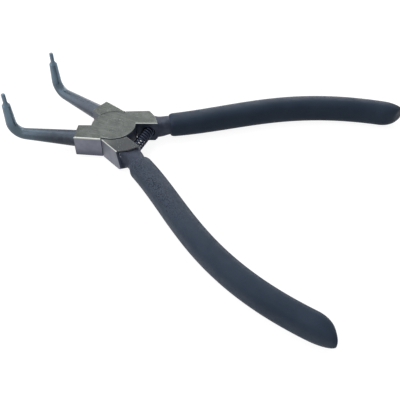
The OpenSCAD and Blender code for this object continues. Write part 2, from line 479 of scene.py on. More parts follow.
class Graph(Wiring):
    """Shader graph of one finish, with short calls for the nodes that the finishes share."""

    def __init__(self, name: str) -> None:
        """Starts a material with one principled shader.

        Args:
            name: Name of the material.
        """
        self.material = bpy.data.materials.new(name)
        self.material.use_nodes = True
        super().__init__(self.material.node_tree)
        self.shader = self.tree.nodes["Principled BSDF"]
        coordinates = self.add("ShaderNodeTexCoord", {}).outputs
        self.place, self.normal = coordinates["Object"], coordinates["Normal"]

    def set(self, **values: Value) -> None:
        """Sets or links inputs of the shader.

        Args:
            values: Socket or value for each input, whose name is in small letters with underscores.
        """
        inputs = {socket.name.lower().replace(" ", "_"): socket for socket in self.shader.inputs}
        for name, value in values.items():
            self.give(inputs[name], value)

    def facing(self, direction: Sequence[float]) -> Socket:
        """How far the surface faces a direction of the piece, from -1 to 1."""
        given = {0: self.normal, 1: Vector(direction).normalized()}
        return self.add("ShaderNodeVectorMath", given, operation="DOT_PRODUCT").outputs["Value"]

    def noise(self, grain: Grain) -> Socket:
        """Plain noise of a grain.

        Args:
            grain: Its width, detail and stretch.

        Returns:
            The value, which mostly lies in NOISE_SPAN.
        """
        mapping = self.add("ShaderNodeMapping", {"Scale": grain.stretch, "Vector": self.place})
        given = {
            "Scale": 1 / (grain.width * MM),
            "Detail": grain.detail,
            "Vector": mapping.outputs["Vector"],
        }
        return self.add("ShaderNodeTexNoise", given).outputs["Fac"]

    def ranged(self, value: Socket, span: Span, start: float = 0, end: float = 1) -> Socket:
        """Value that goes smoothly from start to end while another goes through a span.

        Args:
            value: The other value.
            span: Its values at which the result is start and end.
            start: First result.
            end: Last result.

        Returns:
            The result.
        """
        low, high = span
        given = {"Value": value, "From Min": low, "From Max": high, "To Min": start, "To Max": end}
        return self.add("ShaderNodeMapRange", given, interpolation_type="SMOOTHSTEP").outputs["Result"]

    def showing(self, grain: Grain, noise: Socket | None = None) -> Socket:
        """How much a grain shows.

        Args:
            grain: The grain.
            noise: Its noise, where that is already made.

        Returns:
            The share.
        """
        return self.ranged(noise or self.noise(grain), grain.span, grain.least, grain.most)

    def drift(self, axis: str, ends: Span, start: float = 0, end: float = 1) -> Socket:
        """Value that goes smoothly from start to end along an axis of the part's frame.

        Args:
            axis: Name of the axis.
            ends: Where it is start and end, in millimetres.
            start: First value.
            end: Last value.

        Returns:
            The value.
        """
        place = self.add("ShaderNodeSeparateXYZ", {"Vector": self.place}).outputs[axis]
        return self.ranged(place, (ends[0] * MM, ends[1] * MM), start, end)

    def product(self, first: Socket, *others: Socket) -> Socket:
        """Product of values.

        Args:
            first: First value.
            others: Values by which it is multiplied.

        Returns:
            The product.
        """
        for other in others:
            first = self.reckon("MULTIPLY", first, other)
        return first

    def mixed(self, share: Socket, first: Colour | Socket, second: Colour) -> Socket:
        """Colour between two colours, of which share says how much of the second there is."""
        given = {"Factor": share, "A": first, "B": second}
        return self.add("ShaderNodeMix", given, data_type="RGBA").outputs["Result"]

    def rough(self, noise: Socket, least: float, most: float) -> None:
        """Makes the roughness follow a noise, from least to most."""
        self.set(roughness=self.ranged(noise, NOISE_SPAN, least, most))

    def bump(self, height: Socket, depth: float, strength: float) -> None:
        """Roughens the surface by a height map, over any that it already has.

        Args:
            height: Height from 0 to 1.
            depth: Height of 1, in millimetres.
            strength: Share of the effect.
        """
        given = {"Distance": depth * MM, "Strength": strength, "Height": height}
        last = self.shader.inputs["Normal"]
        if last.links:
            given["Normal"] = last.links[0].from_socket
        self.set(normal=self.add("ShaderNodeBump", given).outputs["Normal"])


# In the finishes, a roughness of two values goes from least to most, and a relief is the depth in
# millimetres and the strength of a bump


@dataclass(frozen=True)
class GroundSteel:
    """Bare steel of the head's flat faces, ground after forging."""

    grey: Colour = tone(77, 81, 79)
    pale: Colour = tone(91, 95, 93)
    streak: Colour = tone(106, 110, 107)
    # Painted glints over the ground faces
    glint: Colour = tone(142, 146, 144)
    pit: Colour = tone(54, 57, 56)
    # Painted shade: a darker reflection laid over the lower lever's shoulder top, growing towards the handle
    painted_shade_tone: Colour = tone(62, 64, 67)
    painted_shade_along_x: Span = (0, 9)
    painted_shade_most: float = 0.85
    clouds: Grain = Grain(5, 3, span=(0.35, 0.7))
    marks: Grain = Grain(0.35, 3, (0.08, 1, 1), span=(0.5, 0.72), most=0.7)
    glints: Grain = Grain(0.45, 1, span=(0.7, 0.78))
    pits: Grain = Grain(0.55, span=(0.38, 0.27), most=0.8)
    roughness: Span = (0.37, 0.47)
    relief: Pair = (0.03, 0.5)

    def material(self, shade_painted: bool = False) -> Material:
        """Steel with fine grinding marks, cloudy tone, painted glints and small pits.

        Args:
            shade_painted: Whether it carries painted shade, darker towards the handle.

        Returns:
            The material.
        """
        graph = Graph("ground_steel_dulled" if shade_painted else "ground_steel")
        graph.set(metallic=1.0)
        marks = graph.noise(self.marks)
        graph.rough(marks, *self.roughness)
        base = graph.mixed(graph.showing(self.clouds), self.grey, self.pale)
        base = graph.mixed(graph.showing(self.marks, marks), base, self.streak)
        # Painted shade, darker towards the handle
        if shade_painted:
            base = graph.mixed(graph.drift("X", self.painted_shade_along_x, 0, self.painted_shade_most), base, self.painted_shade_tone)
        # Painted glints
        base = graph.mixed(graph.showing(self.glints), base, self.glint)
        graph.set(base_color=graph.mixed(graph.showing(self.pits), base, self.pit))
        graph.bump(marks, *self.relief)
        return graph.material


@dataclass(frozen=True)
class FlankSteel:
    """Smoother bare steel on the upright sides of the head."""

    grey: Colour = tone(107, 109, 121)
    pale: Colour = tone(116, 118, 129)
    # Painted shade: the flanks grow darker towards the underside
    painted_shade_tone: Colour = tone(82, 84, 95)
    painted_shade_along_z: Span = (0, 5.5)
    clouds: Grain = Grain(4, span=(0.35, 0.65))
    sheen: Grain = Grain(0.8, 3, (1, 1, 0.15))
    texture: Grain = Grain(0.4)
    roughness: Span = (0.34, 0.42)
    relief: Pair = (0.02, 0.4)

    def material(self, shade_painted: bool = False) -> Material:
        """Steel with a soft cloudy tone.

        Args:
            shade_painted: Whether it carries painted shade, darker towards the underside.

        Returns:
            The material.
        """
        graph = Graph("flank_steel_dulled" if shade_painted else "flank_steel")
        graph.set(metallic=1.0)
        graph.rough(graph.noise(self.sheen), *self.roughness)
        base = graph.mixed(graph.showing(self.clouds), self.grey, self.pale)
        # Painted shade, darker towards the underside
        if shade_painted:
            base = graph.mixed(graph.drift("Z", self.painted_shade_along_z, 1, 0), base, self.painted_shade_tone)
        graph.set(base_color=base)
        graph.bump(graph.noise(self.texture), *self.relief)
        return graph.material


@dataclass(frozen=True)
class EdgeSteel:
    """Edges of the head, partly worn bright and partly a painted highlight."""

    bright: Colour = tone(160, 163, 158)
    roughness: float = 0.3

    def material(self) -> Material:
        """Plain bright steel.

        Returns:
            The material.
        """
        graph = Graph("edge_steel")
        graph.set(base_color=self.bright, metallic=1.0, roughness=self.roughness)
        return graph.material


@dataclass(frozen=True)
class OxideSteel:
    """Blue-grey oxide on the noses and the walls beside them, greyer and darker at the root and bluer and
    lighter on the leg, partly a real change of tone and partly painted shade and light.
    """

    nose: Colour = tone(84, 97, 108)
    root: Colour = tone(76, 81, 91)
    # Painted shade: a darker root, used on the upper lever
    painted_shade_tone: Colour = tone(54, 59, 68)
    leg: Colour = tone(103, 121, 136)
    cloud: Colour = tone(104, 114, 122)
    root_x: Span = (-38, -20)
    leg_z: Span = (7, 15)
    clouds: Grain = Grain(3, 3, span=(0.45, 0.75), most=0.2)
    sheen: Grain = Grain(1.5, 3)
    texture: Grain = Grain(0.3)
    metallic: float = 0.7
    roughness: Span = (0.31, 0.42)
    gloss: float = 0.25
    relief: Pair = (0.02, 0.5)

    def material(self, shade_painted: bool = False) -> Material:
        """Satin coat whose tone drifts along the nose, with faint clouds and a fine grain.

        Args:
            shade_painted: Whether it carries painted shade, darker at the root.

        Returns:
            The material.
        """
        graph = Graph("oxide_steel_dulled" if shade_painted else "oxide_steel")
        graph.set(metallic=self.metallic, specular_ior_level=self.gloss)
        graph.rough(graph.noise(self.sheen), *self.roughness)
        # Tone drift along the nose and up the leg: partly a real change of the oxide, partly painted shade
        # towards the root and painted light on the leg; on the upper lever, painted shade darkens the root
        # further
        base = graph.mixed(graph.drift("X", self.root_x), self.nose, self.painted_shade_tone if shade_painted else self.root)
        base = graph.mixed(graph.drift("Z", self.leg_z), base, self.leg)
        graph.set(base_color=graph.mixed(graph.showing(self.clouds), base, self.cloud))
        graph.bump(graph.noise(self.texture), *self.relief)
        return graph.material


@dataclass(frozen=True)
class ShadeSteel:
    """Dull blue-black scale left on the necks and on the walls inside the head, also laid as painted shadow
    on the disc's rim and the lap walls in the seam between the levers.
    """

    dark: Colour = tone(52, 58, 73)
    pale: Colour = tone(64, 71, 85)
    clouds: Grain = Grain(3, 3, span=(0.4, 0.7))
    texture: Grain = Grain(0.4)
    metallic: float = 0.4
    roughness: float = 0.5
    gloss: float = 0.2
    relief: Pair = (0.03, 0.5)

    def material(self) -> Material:
        """Dull coat with a cloudy tone and a fine grain.

        Returns:
            The material.
        """
        graph = Graph("shade_steel")
        graph.set(metallic=self.metallic, roughness=self.roughness, specular_ior_level=self.gloss)
        graph.set(base_color=graph.mixed(graph.showing(self.clouds), self.dark, self.pale))
        graph.bump(graph.noise(self.texture), *self.relief)
        return graph.material


@dataclass(frozen=True)
class SpringSteel:
    """Blackened wire of the return spring."""

    black: Colour = tone(49, 55, 70)
    metallic: float = 0.9
    roughness: float = 0.45

    def material(self) -> Material:
        """Plain dark wire with a clear gleam.

        Returns:
            The material.
        """
        graph = Graph("spring_steel")
        graph.set(base_color=self.black, metallic=self.metallic, roughness=self.roughness)
        return graph.material


@dataclass(frozen=True)
class SlateVinyl:
    """Dipped vinyl of the grips, with a worn, pitted patch on the crown behind the mouth of one of them."""

    dark: Colour = tone(45, 58, 75)
    pale: Colour = tone(53, 66, 83)
    worn: Colour = tone(74, 84, 101)
    pebble: Colour = tone(35, 44, 58)
    clouds: Grain = Grain(14, span=(0.35, 0.65))
    sheen: Grain = Grain(3)
    texture: Grain = Grain(0.6)
    clusters: Grain = Grain(9, 1, span=(0.36, 0.6), least=0.7)
    specks: Grain = Grain(0.5, 1, span=(0.48, 0.58))
    roughness: Span = (0.47, 0.57)
    gloss: float = 0.15
    relief: Pair = (0.02, 0.4)
    speck_relief: Pair = (0.09, 0.8)
    patch_facing: tuple[float, float, float] = (-0.26, -0.43, 0.87)
    patch_crown: Span = (0.7, 0.95)
    patch_begin: Span = (0, 1)
    patch_fade: Span = (22, 62)

    def material(self, pebbled: bool) -> Material:
        """Soft satin vinyl.

        Args:
            pebbled: Whether this grip has the pebbled patch.

        Returns:
            The material.
        """
        graph = Graph("slate_vinyl_pebbled" if pebbled else "slate_vinyl")
        graph.set(specular_ior_level=self.gloss)
        graph.rough(graph.noise(self.sheen), *self.roughness)
        base = graph.mixed(graph.showing(self.clouds), self.dark, self.pale)
        graph.bump(graph.noise(self.texture), *self.relief)
        if pebbled:
            along = graph.add("ShaderNodeAttribute", {}, attribute_name="along").outputs["Fac"]
            begin = graph.ranged(along, self.patch_begin)
            fade = graph.ranged(along, self.patch_fade, 1, 0)
            crown = graph.ranged(graph.facing(self.patch_facing), self.patch_crown)
            patch = graph.product(begin, fade, crown)
            speckle = graph.product(patch, graph.showing(self.clusters), graph.showing(self.specks))
            base = graph.mixed(speckle, graph.mixed(patch, base, self.worn), self.pebble)
            graph.bump(graph.ranged(speckle, (0, 1), 1, 0), *self.speck_relief)
        graph.set(base_color=base)
        return graph.material


@dataclass(frozen=True)
class Handle:
    """Line of a handle in plan, and the section that follows it from the mouth of the grip to the end."""

    mouth_x: float = 24.95
    mouth_y: float = 6.6
    length: float = 109
    end_y: float = 15
    # Guide points of its curve: X from the mouth, and Y
    near: Pair = (33, 11.8)
    far: Pair = (58.8, 30)
    # Half width and half height at the mouth, halfway and at the end
    half_w: tuple[float, float, float] = (5.15, 4.8, 4.3)
    half_h: tuple[float, float, float] = (4.85, 5.85, 5.65)
    squareness: float = 2.6
    mid_z: float = HEAD_T / 2
    sides: int = 56

    @property
    def guides(self) -> tuple[Vector, Vector, Vector, Vector]:
        """Guide points of the curve of the handle.

        Returns:
            The mouth, the two points between, and the end.
        """
        return (
            Vector((self.mouth_x, self.mouth_y)),
            Vector((self.mouth_x + self.near[0], self.near[1])),
            Vector((self.mouth_x + self.far[0], self.far[1])),
            Vector((self.mouth_x + self.length, self.end_y)),
        )

    def point(self, share: float) -> Vector:
        """Point of the axis.

        Args:
            share: Share of the way from the mouth to the end.

        Returns:
            The point, in plan.
        """
        a, b, c, d = self.guides
        rest = 1 - share
        return a * rest**3 + b * 3 * share * rest**2 + c * 3 * share**2 * rest + d * share**3

    def direction(self, share: float) -> Vector:
        """Direction of the axis.

        Args:
            share: Share of the way from the mouth to the end.

        Returns:
            The direction, in plan.
        """
        a, b, c, d = self.guides
        rest = 1 - share
        return ((b - a) * rest**2 + (c - b) * 2 * share * rest + (d - c) * share**2).normalized()

    def ring(self, share: float, depth: float, shrink: float = 1, rake: float = 0, shift: float = 0) -> Ring:
        """Ring across the handle.

        Args:
            share: Share of the way from the mouth to the end.
            depth: How far the ring lies under the outer face of the grip.
            shrink: Factor on its size.
            rake: Angle in degrees by which its outer side leans towards the end.
            shift: How far it is moved outwards.

        Returns:
            The points of the ring.
        """
        point, run = self.point(share), self.direction(share)
        outward = Vector((-run.y, run.x, 0))
        raked = outward + Vector((run.x, run.y, 0)) * math.tan(math.radians(rake))
        half = Vector((through(self.half_w, share) - depth, through(self.half_h, share) - depth)) * shrink
        centre = Vector((point.x, point.y, self.mid_z)) + outward * shift
        return section(centre, raked, UP, half, self.sides, self.squareness)


@dataclass(frozen=True)
class Nose:
    """Round nose of a lever, which runs forward, bends upwards and ends in the tip pin."""

    # Axis: the corner that the bend rounds off, the start at the jaw root, and the radius of the bend
    reach: float = 45.8
    corner_y: float = 0.95
    root_y: float = 4.35
    root_z: float = 5.5
    rise: float = 0.3
    bend_r: float = 5.8
    # Height of the leg's end above the axis at the root
    leg_h: float = 15.4
    # Thickness, as radii
    root_r: float = 3.75
    bend_start_r: float = 2.6
    leg_start_r: float = 2.25
    leg_end_r: float = 1.8
    # Tip pin on its cone, whose rounded end is drawn up to an angle in degrees
    cone_h: float = 1.4
    cone_ledge: float = 0.1
    pin_r: float = 0.9
    pin_len: float = 4.5
    pin_round: float = 0.5
    pin_turn: float = 86
    sides: int = 48
    # Rings along the straight run, the bend, the leg and the end of the pin
    ring_counts: tuple[int, int, int, int] = (16, 20, 8, 5)

    def build(self, front_x: float, depth: float) -> Piece:
        """Whole nose.

        Args:
            front_x: Where the front of the jaw root lies along X.
            depth: How far the nose reaches into the root.

        Returns:
            The form as it is drawn.
        """
        foot = Vector((front_x, -self.root_y, self.root_z))
        corner = Vector((-self.reach, -self.corner_y, self.root_z + self.rise))
        forward = (corner - foot).normalized()
        across = forward.cross(UP)
        bend_start = corner - forward * self.bend_r
        leg_start = corner + UP * self.bend_r
        leg_end = corner + UP * (self.leg_h - self.rise)
        pin_foot = leg_end + UP * self.cone_h
        pin_top = pin_foot + UP * (self.pin_len - self.pin_round)
        straight, bend, leg, end = self.ring_counts
        rings: list[Ring] = []

        def add(centre: Vector, run: Vector, radius: float) -> None:
            """One more round section, across a direction."""
            rings.append(circle(centre, across, run.cross(across), radius, self.sides))

        add(foot - forward * depth, forward, self.root_r)
        for step in range(straight):
            share = step / straight
            add(foot.lerp(bend_start, share), forward, between(self.root_r, self.bend_start_r, share))
        for step in range(bend):
            share = step / bend
            cosine, sine = polar(1, 90 * share)
            centre = bend_start + (forward * sine + UP * (1 - cosine)) * self.bend_r
            radius = between(self.bend_start_r, self.leg_start_r, share)
            add(centre, forward * cosine + UP * sine, radius)
        for step in range(leg + 1):
            share = step / leg
            add(leg_start.lerp(leg_end, share), UP, between(self.leg_start_r, self.leg_end_r, share))
        add(leg_end, UP, self.leg_end_r - self.cone_ledge)
        add(pin_foot, UP, self.pin_r)
        for step in range(end + 1):
            cosine, sine = polar(1, self.pin_turn * step / end)
            add(pin_top + UP * self.pin_round * sine, UP, self.pin_r * cosine)
        return skin("nose", rings)


@dataclass
class Lever:
    """One forged lever: nose, jaw root, half-lap disc, shoulder, neck and the tang inside the grip."""

    side: Side
    handle: Handle
    nose: Nose = field(default_factory=Nose)
    half_open: float = 22.5
    # Half-lap: the discs, the room round them and between them, and the stop faces
    head_t: float = HEAD_T
    disc_r: float = 10
    lap_clear: float = 0.4
    lap_gap: float = 0.1
    lap_flare: float = 0.3
    stop_land: float = 1.45
    stop_gap: float = 0.3
    # Width in plan and height of the rounded edges
    edge: Pair = (0.45, 0.35)
    root_edge: Pair = (0.8, 0.5)
    disc_edge: Pair = (0.25, 0.3)
    # Jaw root: room for the other disc, its front, its distance from the middle line and its corners
    root_clear: float = 0.12
    root_flare: float = 0.06
    root_len: float = 6
    root_slant: float = 0.85
    root_w: float = 9.4
    root_in: float = 0.05
    root_round: float = 0.4
    # Shoulder: its end corners, how they shift towards the underside, and the heel between them
    shoulder_len: float = 5.5
    shoulder_slant: float = 4.45
    shoulder_land: float = 1.05
    shoulder_in: float = 1.2
    shoulder_foot: float = 2.2
    shoulder_trim: float = 1.9
    shoulder_round: float = 1
    heel_len: float = 8.3
    heel_y: float = 6.9
    foot_bevel: float = 1.5
    # Neck with the fillet behind the shoulder, tang inside the wall of the grip, and the rings along both
    neck_out: float = 8.5
    neck_squareness: float = 5
    neck_step: float = 0.1
    neck_half_h: float = 3.8
    fillet: float = 1.7
    fillet_run: float = 2
    grip_wall: float = 1
    tang_stop: float = 15
    tang_rings: tuple[int, int] = (18, 60)
    # Bore for the rivet, and seat of the spring
    rivet_r: float = 3.25
    rivet_head_r: float = 4.5
    rivet_head_h: float = 1.2
    rivet_fit: float = 0.05
    seat_x: float = 13.7
    seat_reach: float = 10.45
    seat_r: float = 2.9
    seat_sides: int = 48
    # How far forms that are joined or cut reach past each other, and the angle of sharp edges in degrees
    over: float = 1
    crease: float = 32
    # In the order of the zones
    finishes: tuple[GroundSteel, FlankSteel, OxideSteel, EdgeSteel, ShadeSteel] = field(
        default_factory=lambda: (GroundSteel(), FlankSteel(), OxideSteel(), EdgeSteel(), ShadeSteel())
    )

    @property
    def stop_angle(self) -> float:
        """Angle in degrees by which the stop faces stand clear of the lever's own line."""
        return math.degrees(math.asin(self.stop_gap / 2 / (self.disc_r + self.stop_land)))

    @property
    def inner_r(self) -> float:
        """Radius at which the jaw root and the shoulder start, inside the disc and clear of the rivet."""
        return (self.disc_r + self.rivet_head_r) / 2

    @property
    def front(self) -> tuple[Vector, Vector]:
        """Inner and outer front corners of the jaw root in plan."""
        x = -self.disc_r - self.root_len
        return Vector((x, -self.root_in)), Vector((x - self.root_slant, -self.root_w))

    @property
    def back(self) -> tuple[Vector, Vector]:
        """End corners of the shoulder's top in plan.

        Returns:
            The inner corner and the outer one.
        """
        x = self.disc_r + self.shoulder_len
        return (
            Vector((x + self.shoulder_slant, self.shoulder_in)),
            Vector((x, self.disc_r + self.shoulder_land)),
        )

    @property
    def heel(self) -> Vector:
        """Corner in plan between the two parts of the shoulder's end."""
        return Vector((self.disc_r + self.heel_len, self.heel_y))

    def stop_corners(self, degrees: float) -> list[Vector]:
        """Outer and inner corners of a stop face in plan.

        Args:
            degrees: Direction of the face, when the other lever's face touches it.

        Returns:
            The two corners, with this lever's half of the gap.
        """
        angle = degrees - self.half_open - self.stop_angle
        return [polar(radius, angle) for radius in (self.disc_r + self.stop_land, self.inner_r)]

    def root(self) -> Piece:
        """Full-thickness jaw root, in front of the pivot.

        Returns:
            The form as it is drawn.
        """
        plan = [*self.front, *self.stop_corners(270), Vector((-self.inner_r, -self.root_in))]
        corners = {0: self.root_round, 1: self.root_round}
        return prism("root", [(0, plan), (self.head_t, plan)], self.root_edge, corners)

    def end_shift(self, height: float) -> Pair:
        """How far behind those of its top the end corners of the shoulder lie.

        Args:
            height: Height at which they are read.

        Returns:
            Shift of the inner corner and of the outer one.
        """
        if height < self.foot_bevel:
            return height - self.shoulder_trim, height - self.foot_bevel + self.shoulder_foot
        share = (self.head_t - height) / (self.head_t - self.foot_bevel)
        return (self.foot_bevel - self.shoulder_trim) * share, self.shoulder_foot * share

    def ends(self, height: float) -> list[Vector]:
        """Inner and outer end corners of the shoulder in plan at a height."""
        return [corner + Vector((shift, 0)) for corner, shift in zip(self.back, self.end_shift(height))]

    def shoulder(self) -> Piece:
        """Full-thickness shoulder, behind the pivot.

        Returns:
            The form as it is drawn.
        """
        levels = []
        for height in (0, self.foot_bevel, self.head_t):
            inner, outer = self.ends(height)
            start = Vector((self.inner_r, self.shoulder_in))
            levels.append((height, [start, inner, self.heel, outer, *self.stop_corners(90)]))
        return prism("shoulder", levels, self.edge, {2: self.shoulder_round, 3: self.shoulder_round})

    def neck_ring(self, share: float) -> Ring:
        """Ring across the neck.

        Args:
            share: Where it lies, from inside the shoulder at 0 to the mouth of the grip at 1.

        Returns:
            The points of the ring.
        """
        handle = self.handle
        ease = (1 - math.cos(math.pi * share**2)) / 2
        inner = self.shoulder_in + self.neck_step
        root = Vector((self.disc_r + self.shoulder_len, (inner + self.neck_out) / 2))
        mouth = handle.guides[0]
        x, y = between(root.x, mouth.x, share), between(root.y, mouth.y, ease)
        run = Vector((1, 0)).lerp(handle.direction(0), ease).normalized()
        outward = Vector((-run.y, run.x, 0))
        flare = self.fillet * math.exp(-max(0, x - root.x - self.over) / self.fillet_run)
        centre = Vector((x, y, self.head_t / 2)) + outward * flare / 2
        start = Vector(((self.neck_out - inner) / 2, self.neck_half_h))
        end = Vector((handle.half_w[0] - self.grip_wall, handle.half_h[0] - self.grip_wall))
        half = start.lerp(end, ease) + Vector((flare / 2, flare / 2))
        power = between(self.neck_squareness, handle.squareness, ease)
        return section(centre, outward, UP, half, handle.sides, power)

    def tang(self) -> Piece:
        """Neck behind the shoulder and the tang inside the grip.

        Returns:
            The form as it is drawn.
        """
        neck, run = self.tang_rings
        reach = 1 - self.tang_stop / self.handle.length
        rings = [self.neck_ring(step / neck) for step in range(neck)]
        rings += [self.handle.ring(reach * step / run, self.grip_wall) for step in range(run + 1)]
        return skin("tang", rings)

    def disc(self) -> Piece:
        """Half-lap disc in this lever's half of the head, bored for the rivet.

        Returns:
            The form as it is drawn.
        """
        middle, half_gap = self.head_t / 2, self.lap_gap / 2
        upper = self.side is Side.UPPER
        low, high = (middle + half_gap, self.head_t) if upper else (0, middle - half_gap)
        plan = [polar(self.disc_r, 360 * step / TURNED_SIDES) for step in range(TURNED_SIDES)]
        made = prism("disc", [(low, plan), (high, plan)], self.disc_edge)
        head, shank = self.rivet_head_r + self.rivet_fit, self.rivet_r + self.rivet_fit
        bore = lathe(
            "bore",
            [
                (head, -self.over),
                (head, 0),
                (shank, self.rivet_head_h),
                (shank, self.head_t - self.rivet_head_h),
                (head, self.head_t),
                (head, self.head_t + self.over),
            ],
        )
        combine(made, bore, Joining.CUT)
        return made

    def lap(self, clear: float, flare: float) -> Piece:
        """Room for the other lever's disc.

        Args:
            clear: Gap round the disc.
            flare: Height and width of the bevel where it opens.

        Returns:
            The form that is cut away.
        """
        radius = self.disc_r + clear
        profile = [
            (radius, (self.head_t + self.lap_gap) / 2),
            (radius, flare),
            (radius + 2 * flare, -flare),
            (radius + 2 * flare, -self.over),
        ]
        if self.side is Side.LOWER:
            profile = [(r, self.head_t - height) for r, height in profile]
        return lathe("lap", profile)

    def seat(self) -> Piece:
        """Blind hole for one end of the spring, on the line that the spring takes when open.

        Returns:
            The form that is cut away.
        """
        turn = Matrix.Rotation(math.radians(-self.half_open), 3, "Z")
        x = turn @ Vector((1, 0, 0))
        ends = [turn @ Vector((self.seat_x, y, self.head_t / 2)) for y in (0, self.seat_reach)]
        return skin("seat", [circle(end, x, UP, self.seat_r, self.seat_sides) for end in ends])

    def zone(self, centre: Vector, normal: Vector) -> Zone:
        """Surface to which a face belongs.

        Args:
            centre: Middle of the face, on the drawn lever.
            normal: Its normal.

        Returns:
            The surface.
        """

        def beyond(inner: Vector, outer: Vector) -> bool:
            """Whether the face lies outside a line, seen from the pivot.

            Args:
                inner: Inner corner on the line.
                outer: Outer corner on it.

            Returns:
                Whether it does.
            """
            run = (outer - inner).normalized()
            side = Vector((run.y, -run.x))
            if side.dot(inner) < 0:
                side.negate()
            return (centre.xy - inner).dot(side) > SLACK

        inner, outer = self.ends(centre.z)
        if beyond(*self.front):
            return Zone.OXIDE
        if beyond(inner, self.heel) or beyond(self.heel, outer):
            return Zone.SHADE
        opened = Matrix.Rotation(math.radians(self.half_open), 3, "Z") @ centre
        in_seat = math.hypot(opened.x - self.seat_x, opened.z - self.head_t / 2) < self.seat_r + SLACK
        upright = abs(normal.z) < LEVEL
        front_wall = centre.x < -self.disc_r and normal.x < -TURNED
        inner_wall = centre.x > self.inner_r and centre.y < self.shoulder_in + SLACK
        inner_root = centre.x < -self.inner_r and centre.y > -self.root_in - SLACK
        radius = centre.xy.length
        outward = normal.xy.dot(centre.xy) / radius
        rim = radius < self.disc_r + SLACK and outward > TURNED
        lap_wall = centre.x > 0 and radius < self.disc_r + self.lap_clear + SLACK and outward < -STEEP
        # The disc's rim, the lower part of its edge rounding and the lap walls on the shoulder side take the
        # dark scale as painted shadow in the seam between the levers
        if in_seat or (upright and (inner_wall or lap_wall)) or (rim and abs(normal.z) < STEEP):
            return Zone.SHADE
        if upright and (front_wall or inner_root):
            return Zone.OXIDE
        # On the near side, the upper part of the disc's edge rounding takes the bright edge finish as a
        # painted highlight along the seam
        if rim and abs(normal.z) < FLAT:
            return Zone.EDGE if centre.y < -STEEP * self.disc_r else Zone.GROUND
        if abs(normal.z) > FLAT:
            return Zone.GROUND
        if normal.z < LEVEL:
            return Zone.FLANK
        # Edges along the front and back, and on the lower lever only its outer ones, take the bright edge
        # finish: partly wear, partly painted highlight
        worn = abs(normal.y) > abs(normal.x) and (self.side is Side.UPPER or normal.y * centre.y > 0)
        return Zone.EDGE if worn else Zone.GROUND

    def dress(self, made: Piece) -> None:
        """Gives the lever its materials, and each face the one of its surface.

        Args:
            made: The lever as it is drawn.
        """
        # Painted shade: darker flank undersides and nose roots on the upper lever, a darker shoulder top on
        # the lower lever
        shade_painted = (Zone.FLANK, Zone.OXIDE) if self.side is Side.UPPER else (Zone.GROUND,)
        made.data.materials.clear()
        for zone, finish in zip(Zone, self.finishes):
            made.data.materials.append(finish.material(shade_painted=True) if zone in shade_painted else finish.material())
        for face in made.data.polygons:
            face.material_index = self.zone(face.center, face.normal)

    def build(self) -> Piece:
        """Whole lever, in place and dressed.

        Returns:
            The finished piece.
        """
        made, shoulder = self.root(), self.shoulder()
        combine(made, self.lap(self.root_clear, self.root_flare), Joining.CUT)
        combine(shoulder, self.lap(self.lap_clear, self.lap_flare), Joining.CUT)
        nose = self.nose.build(self.front[0].x, self.root_len - self.over)
        for part in (shoulder, nose, self.tang()):
            combine(made, part, Joining.ADD)
        combine(made, self.seat(), Joining.CUT)
        combine(made, self.disc(), Joining.ADD)
        self.dress(made)
        settle(made, self.side.placed(self.half_open), self.crease)
        made.name = f"{self.side.value}_lever_forging"
        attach(made, self.side.body)
        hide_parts(f"{self.side.value}_lever")
        return made


@dataclass
class Grip:
    """Dipped vinyl sleeve over a tang, with a rounded lip and a raked, rounded end."""

    side: Side
    handle: Handle
    half_open: float = Lever.half_open
    # Wall, end of the bore and room round the tang
    wall: float = Lever.grip_wall
    tang_stop: float = Lever.tang_stop
    fit: float = 0.05
    # Rounded lip at the mouth
    lip_len: float = 2.4
    lip_round: float = 0.8
    # Rounded end: its length, its rake and turn in degrees, the size left at its tip and the lean of that
    end_round: float = 6
    end_rake: float = 31
    end_turn: float = 80
    end_flat: float = 0.4
    end_lean: float = 0.35
    # Rings along the bore, the lip, the outside and the end
    ring_counts: tuple[int, int, int, int] = (40, 10, 110, 16)
    crease: float = 50
    finish: SlateVinyl = field(default_factory=SlateVinyl)

    def rings(self) -> tuple[list[Ring], list[float]]:
        """Rings of the sleeve from the bottom of its bore to its end.

        Returns:
            The rings, and about how far each lies from the mouth.
        """
        handle, length = self.handle, self.handle.length
        bore, lip, body, end = self.ring_counts
        reach = 1 - self.tang_stop / length
        mouth, rest = self.lip_len / length, 1 - self.end_round / length
        places: list[float] = []
        rings: list[Ring] = []

        def add(share: float, *shape: float) -> None:
            """One more ring."""
            places.append(share * length)
            rings.append(handle.ring(share, *shape))

        for step in range(bore, -1, -1):
            add(reach * step / bore, self.wall - self.fit)
        for step in range(lip + 1):
            cosine, sine = polar(1, 90 * step / lip)
            add(mouth * (1 - cosine), self.lip_round * (1 - sine))
        for step in range(1, body + 1):
            add(between(mouth, rest, step / body), 0)
        for step in range(1, end + 1):
            cosine, sine = polar(1, self.end_turn * step / end)
            shrink = between(self.end_flat, 1, cosine)
            shift = (1 - shrink) * self.end_lean * handle.half_w[2]
            add(between(rest, 1, sine), 0, shrink, self.end_rake * step / end, shift)
        return rings, places

    def build(self) -> Piece:
        """Whole sleeve, in place and dressed.

        Returns:
            The finished piece.
        """
        made = skin(f"{self.side.value}_grip_sleeve", *self.rings())
        made.data.materials.append(self.finish.material(self.side is Side.LOWER))
        settle(made, self.side.placed(self.half_open), self.crease)
        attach(made, self.side.body)
        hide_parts(f"{self.side.value}_grip")
        return made


